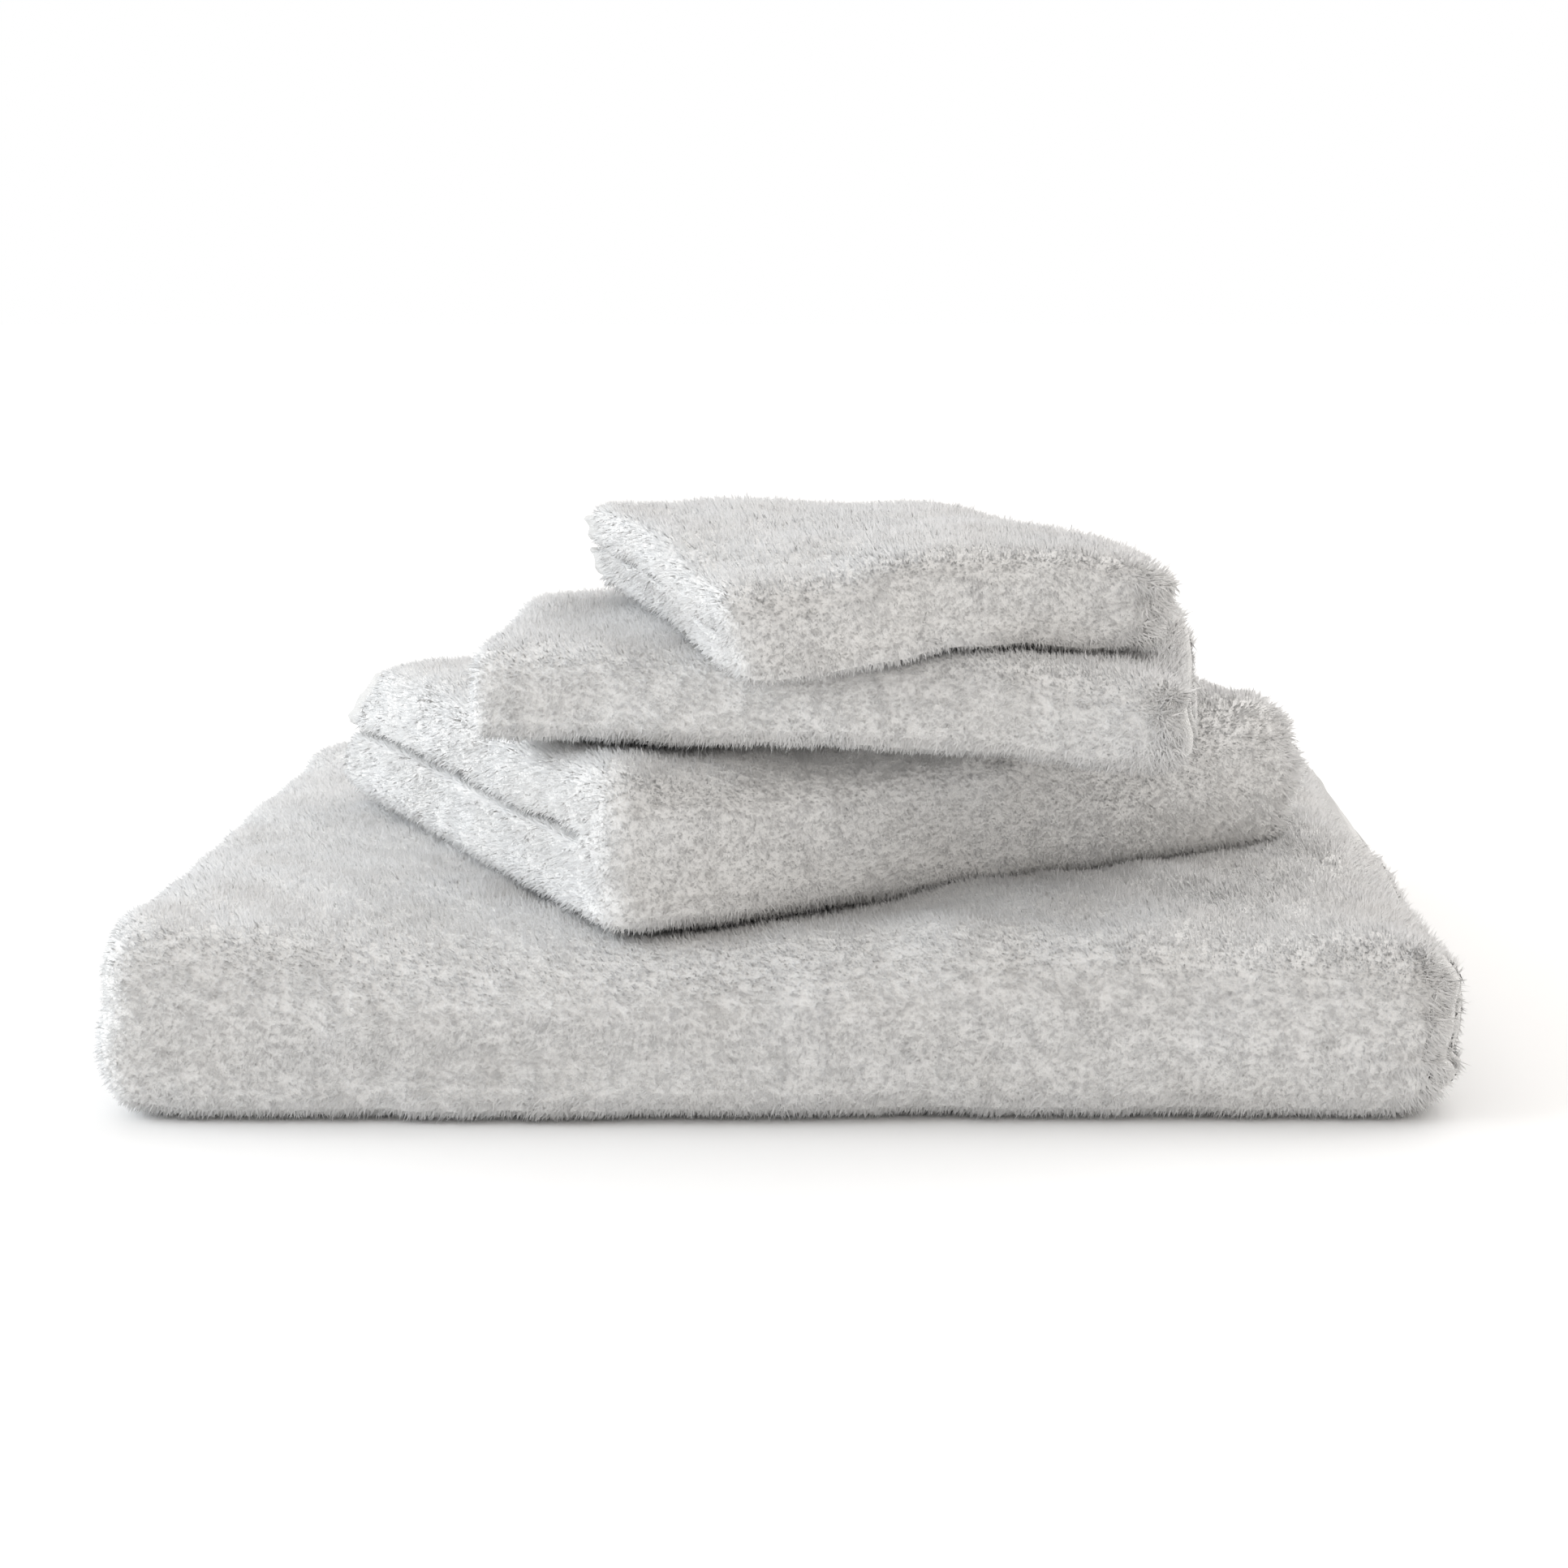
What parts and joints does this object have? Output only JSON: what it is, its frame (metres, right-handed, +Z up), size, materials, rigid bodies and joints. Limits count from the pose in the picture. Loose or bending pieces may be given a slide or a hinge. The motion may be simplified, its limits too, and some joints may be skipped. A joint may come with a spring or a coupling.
{
  "type": "bath towel set",
  "caption": "Stack of folded plush terry towels, from a bath sheet up to a washcloth, each with hems, stitching and a blank label; each lifts off.",
  "frame": {"origin": "middle of the stack's footprint, on the surface that the bath sheet lies on", "axes": "+Z up, -Y towards the front, where the towels' last folds lie, +X to the right along the bath sheet's long side"},
  "size_m": [0.48, 0.4, 0.2049],
  "materials": {
    "terry": "soft white cotton terry with a deep pile",
    "hem": "flat white cotton weave",
    "thread": "white polyester sewing thread",
    "label": "white satin ribbon, blank"
  },
  "bodies": {
    "bath_sheet": {"bath_sheet_terry": "terry", "bath_sheet_left_side_hem": "hem", "bath_sheet_right_side_hem": "hem", "bath_sheet_top_end_hem": "hem", "bath_sheet_bottom_end_hem": "hem", "bath_sheet_stitching": "thread", "bath_sheet_care_label": "label"},
    "bath_towel": {"bath_towel_terry": "terry", "bath_towel_left_side_hem": "hem", "bath_towel_right_side_hem": "hem", "bath_towel_top_end_hem": "hem", "bath_towel_bottom_end_hem": "hem", "bath_towel_stitching": "thread", "bath_towel_care_label": "label"},
    "hand_towel": {"hand_towel_terry": "terry", "hand_towel_left_side_hem": "hem", "hand_towel_right_side_hem": "hem", "hand_towel_top_end_hem": "hem", "hand_towel_bottom_end_hem": "hem", "hand_towel_stitching": "thread", "hand_towel_care_label": "label"},
    "washcloth": {"washcloth_terry": "terry", "washcloth_left_side_hem": "hem", "washcloth_right_side_hem": "hem", "washcloth_top_end_hem": "hem", "washcloth_bottom_end_hem": "hem", "washcloth_stitching": "thread", "washcloth_care_label": "label"}
  },
  "joints": [
    {"name": "bath_towel_lift", "type": "slide", "parent": "bath_sheet", "child": "bath_towel", "axis": [0, 0, 1], "range_m": [0, 0.2]},
    {"name": "hand_towel_lift", "type": "slide", "parent": "bath_towel", "child": "hand_towel", "axis": [0, 0, 1], "range_m": [0, 0.2]},
    {"name": "washcloth_lift", "type": "slide", "parent": "hand_towel", "child": "washcloth", "axis": [0, 0, 1], "range_m": [0, 0.2]}
  ]
}
